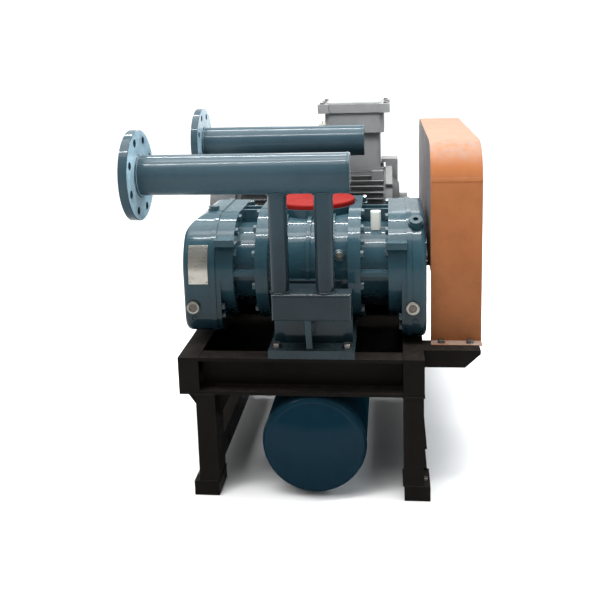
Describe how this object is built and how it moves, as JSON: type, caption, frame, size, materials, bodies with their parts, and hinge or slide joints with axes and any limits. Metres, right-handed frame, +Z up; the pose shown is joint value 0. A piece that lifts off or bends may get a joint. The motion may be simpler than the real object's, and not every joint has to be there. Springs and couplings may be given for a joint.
{
  "type": "rotary lobe blower package",
  "caption": "Belt-driven rotary lobe blower with side gas manifolds, drum silencer, flameproof motor and guarded belt drive on a channel-steel frame.",
  "frame": {"origin": "centre of the whole package's footprint, on the floor", "axes": "+Z up; +X towards the belt guard along the rotor shafts; +Y from the blower towards the motor and the silencer outlet"},
  "size_m": [0.7796, 1.137, 0.881],
  "materials": {
    "frame_black": "satin black enamel over rolled steel",
    "blower_blue": "glossy blue-grey machine enamel over cast iron",
    "pipe_blue": "blue-grey enamel over welded steel pipe",
    "silencer_blue": "dark blue-grey enamel over pressed steel",
    "cap_red": "moulded red protective cover",
    "guard_orange": "orange enamel on sheet steel",
    "guard_grey": "grey primer on sheet steel",
    "motor_grey": "grey enamel over cast iron",
    "bolt_steel": "zinc plated steel",
    "blue_bolts": "bolt heads painted over with the blower",
    "cast_rotor": "machined cast iron",
    "gear_steel": "ground gear steel",
    "bearing_steel": "polished bearing steel",
    "pulley_iron": "machined cast iron, phosphated",
    "belt_rubber": "black rubber with fabric cover",
    "seal_rubber": "nitrile rubber",
    "lens_glass": "clear sight glass with oil behind it",
    "nickel_trim": "nickel plated brass",
    "breather_white": "white moulded plastic",
    "plate_metal": "blank anodised plate",
    "fan_plastic": "black moulded plastic",
    "stator_iron": "laminated steel with varnished copper windings",
    "silencer_inner": "perforated steel tube and baffles"
  },
  "bodies": {
    "package": {"frame_cross_channels": "frame_black", "frame_side_channels": "frame_black", "frame_legs": "frame_black", "feet": "frame_black", "bottom_rails": "frame_black", "drip_tray": "frame_black", "guard_brackets": "frame_black", "blower_pedestal": "blower_blue", "rotor_casing": "blower_blue", "suction_flange": "blower_blue", "gear_end_plate": "blower_blue", "drive_end_plate": "blower_blue", "gear_end_cover": "blower_blue", "drive_end_cover": "blower_blue", "bearing_outer_rings": "bearing_steel", "shaft_seal": "seal_rubber", "front_port_box": "pipe_blue", "rear_port_box": "pipe_blue", "branch_pipes": "pipe_blue", "front_manifold_pipe": "pipe_blue", "rear_manifold_pipe": "pipe_blue", "front_manifold_flange": "pipe_blue", "rear_manifold_flange": "pipe_blue", "oil_sight_rings": "nickel_trim", "oil_sight_lenses": "lens_glass", "oil_plugs": "blue_bolts", "oil_breather": "breather_white", "nameplate": "plate_metal", "blower_bolts": "blue_bolts", "silencer_shell": "silencer_blue", "silencer_inlet_neck": "silencer_blue", "silencer_outlet": "silencer_blue", "silencer_saddles": "frame_black", "silencer_core": "silencer_inner", "v_belts": "belt_rubber", "belt_guard": "guard_orange", "guard_inner_plate": "guard_grey", "slide_rails": "frame_black", "motor_frame": "motor_grey", "drive_end_shield": "motor_grey", "fan_end_shield": "motor_grey", "fan_cowl": "motor_grey", "motor_stator": "stator_iron", "motor_bearings": "bearing_steel", "terminal_box": "motor_grey", "terminal_box_cover": "motor_grey", "cable_glands": "nickel_trim", "base_bolts": "bolt_steel", "tension_screws": "bolt_steel"},
    "drive_rotor_set": {"drive_rotor": "cast_rotor", "drive_timing_gear": "gear_steel", "drive_rotor_bearings": "bearing_steel", "blower_pulley": "pulley_iron"},
    "driven_rotor_set": {"driven_rotor": "cast_rotor", "driven_timing_gear": "gear_steel", "driven_rotor_bearings": "bearing_steel"},
    "motor_rotor_set": {"motor_rotor": "gear_steel", "cooling_fan": "fan_plastic", "motor_pulley": "pulley_iron"},
    "suction_cover": {"suction_cap": "cap_red"}
  },
  "joints": [
    {"name": "drive_rotor_spin", "type": "hinge", "parent": "package", "child": "drive_rotor_set", "pos_m": [-0.01825, -0.0695, 0.517], "axis": [1, 0, 0], "continuous": true},
    {"name": "driven_rotor_spin", "type": "hinge", "parent": "package", "child": "driven_rotor_set", "pos_m": [-0.01825, -0.2255, 0.517], "axis": [1, 0, 0], "continuous": true},
    {"name": "motor_spin", "type": "hinge", "parent": "package", "child": "motor_rotor_set", "pos_m": [-0.01825, 0.3925, 0.53], "axis": [1, 0, 0], "continuous": true},
    {"name": "suction_cover_lift", "type": "slide", "parent": "package", "child": "suction_cover", "axis": [0, 0, 1], "range_m": [0, 0.08]}
  ],
  "couplings": [
    {"joint": "driven_rotor_spin", "follows": "drive_rotor_spin", "ratio": -1},
    {"joint": "motor_spin", "follows": "drive_rotor_spin", "ratio": 1.5}
  ]
}
